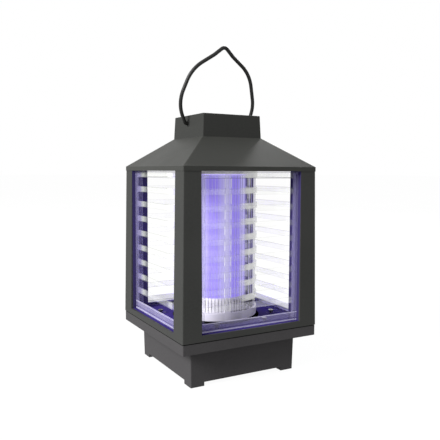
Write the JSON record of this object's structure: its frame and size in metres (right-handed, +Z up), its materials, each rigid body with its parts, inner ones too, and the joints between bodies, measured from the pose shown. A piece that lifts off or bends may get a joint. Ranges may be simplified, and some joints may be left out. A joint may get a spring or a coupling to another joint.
{
  "type": "electric bug zapper",
  "caption": "Square lantern-shaped electric bug zapper with clear louvred windows, a violet light inside a wire grid, a pyramid roof, a wire bail and a lift-off insect tray.",
  "frame": {"origin": "on the ground under the centre of the lantern, at the bottom of its feet", "axes": "+Z up along the lantern's axis; -Y is the front; the bail swings about an axis along X"},
  "size_m": [0.1534, 0.1534, 0.3361],
  "materials": {
    "housing_plastic": "fine textured dark grey moulding",
    "base_plastic": "fine textured dark grey moulding",
    "clear_plastic": "clear moulded acrylic",
    "white_plastic": "satin white moulding",
    "frosted_tube": "frosted violet-lit tube",
    "steel_wire": "bright drawn wire",
    "steel_zinc": "zinc plated",
    "bail_wire": "semi-gloss black coating",
    "black_plastic": "plain",
    "rubber": "plain",
    "circuit_board": "solder mask",
    "component": "plain",
    "aluminium_profile": "drawn",
    "cell_wrap": "shrink sleeve",
    "led_lens": "clear resin",
    "lead_sleeve": "insulated lead"
  },
  "bodies": {
    "base": {"base_tray": "base_plastic", "foot_pads": "rubber", "spring_clips": "steel_wire"},
    "housing": {"body_frame": "housing_plastic", "roof_shell": "housing_plastic", "cap_shell": "housing_plastic", "ceiling_plate": "black_plastic", "louvre_front": "clear_plastic", "louvre_back": "clear_plastic", "louvre_left": "clear_plastic", "louvre_right": "clear_plastic", "louvre_screws": "steel_zinc", "roof_screws": "steel_zinc", "cap_screws": "steel_zinc", "cartridge_screws": "steel_zinc", "board_screws": "steel_zinc", "upper_ring": "white_plastic", "lower_ring": "white_plastic", "guard_cage": "clear_plastic", "lamp_base": "white_plastic", "grid_wires_live": "steel_wire", "grid_wires_return": "steel_wire", "bus_band_live": "steel_wire", "bus_band_return": "steel_wire", "uv_diffuser": "frosted_tube", "led_column": "aluminium_profile", "led_strips": "circuit_board", "uv_leds": "led_lens", "control_board": "circuit_board", "hv_transformer": "component", "hv_capacitors": "component", "battery_holder": "black_plastic", "battery_cells": "cell_wrap", "battery_contacts": "steel_wire", "power_switch": "black_plastic", "charge_socket": "steel_wire", "door_pin": "steel_zinc", "bail_bushes": "black_plastic", "lead_lamp": "lead_sleeve", "lead_switch": "lead_sleeve"},
    "bail": {"bail_handle": "bail_wire"},
    "button": {"power_button": "rubber"},
    "door": {"socket_door": "black_plastic"}
  },
  "joints": [
    {"name": "housing_lift", "type": "slide", "parent": "base", "child": "housing", "axis": [0, 0, 1], "range_m": [0, 0.06]},
    {"name": "bail_swing", "type": "hinge", "parent": "housing", "child": "bail", "pos_m": [0, 0, 0.258], "axis": [1, 0, 0], "range_deg": [-124, 94]},
    {"name": "button_press", "type": "slide", "parent": "housing", "child": "button", "axis": [0, -1, 0], "range_m": [0, 0.0012], "stiffness_N_per_m": 500, "springref_m": -0.001},
    {"name": "door_swing", "type": "hinge", "parent": "housing", "child": "door", "pos_m": [-0.013, 0.0361, 0.2606], "axis": [1, 0, 0], "range_deg": [0, 110]}
  ]
}
